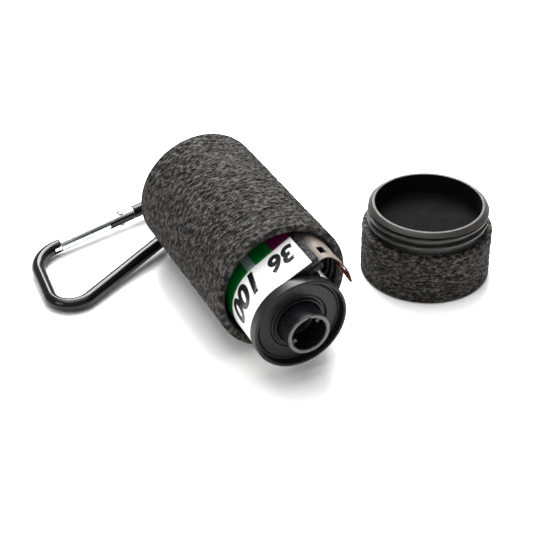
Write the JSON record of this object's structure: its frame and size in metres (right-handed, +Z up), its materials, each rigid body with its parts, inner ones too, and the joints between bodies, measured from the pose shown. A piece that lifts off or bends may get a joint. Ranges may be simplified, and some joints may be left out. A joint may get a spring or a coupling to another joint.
{
  "type": "film cartridge canister",
  "caption": "Screw-top pocket canister lying open with its threaded cap beside it, a 35 mm film cartridge sliding out of the mouth and a sprung carabiner through its base loop.",
  "frame": {"origin": "middle of the footprint of the whole group, on the surface it stands on", "axes": "+Z up; the canister's axis runs along Y with its mouth facing -Y; +X towards the loose cap"},
  "size_m": [0.1198, 0.0928, 0.036],
  "materials": {
    "printed_plastic": "fused nylon print, fine fuzzy skin, matte black",
    "enamelled_tin": "glossy black enamel on drawn tinplate",
    "label_paper": "varnished printed label, white with green and maroon blocks",
    "spool_plastic": "glossy black moulded plastic",
    "wound_film": "wound film base, satin",
    "leader_film": "film base, beige emulsion outside and brown inside",
    "felt": "dark velvet pile",
    "anodised": "glossy black anodised rod",
    "bare_aluminium": "bright natural rod",
    "steel": "bright steel"
  },
  "bodies": {
    "canister": {"canister_body": "printed_plastic"},
    "cap": {"screw_cap": "printed_plastic"},
    "cartridge": {"cartridge_shell": "enamelled_tin", "cartridge_label": "label_paper", "end_cap_front": "enamelled_tin", "end_cap_rear": "enamelled_tin", "film_leader": "leader_film", "light_trap_felt_upper": "felt", "light_trap_felt_lower": "felt"},
    "spool": {"spool": "spool_plastic", "film_roll": "wound_film"},
    "carabiner": {"carabiner_frame": "anodised", "gate_rivet": "steel"},
    "gate": {"carabiner_gate": "bare_aluminium", "gate_spring": "steel", "gate_plunger": "steel"}
  },
  "joints": [
    {"name": "cap_lift", "type": "slide", "parent": "canister", "child": "cap", "axis": [0, 0, 1], "range_m": [0, 0.06]},
    {"name": "cartridge_slide", "type": "slide", "parent": "canister", "child": "cartridge", "axis": [0, 1, 0], "range_m": [-0.031, 0.019]},
    {"name": "spool_turn", "type": "hinge", "parent": "cartridge", "child": "spool", "pos_m": [-0.01084, -0.02852, 0.016], "axis": [0, -0.9997, -0.0227], "continuous": true},
    {"name": "carabiner_swing", "type": "hinge", "parent": "canister", "child": "carabiner", "pos_m": [-0.02368, 0.02382, 0.00346], "axis": [0.8722, 0.4874, 0.0419], "range_deg": [0, 65]},
    {"name": "gate_hinge", "type": "hinge", "parent": "carabiner", "child": "gate", "pos_m": [-0.0275, 0.04136, 0.00367], "axis": [-0.0366, -0.0204, 0.9991], "range_deg": [0, 28], "stiffness_Nm_per_rad": 0.01}
  ]
}
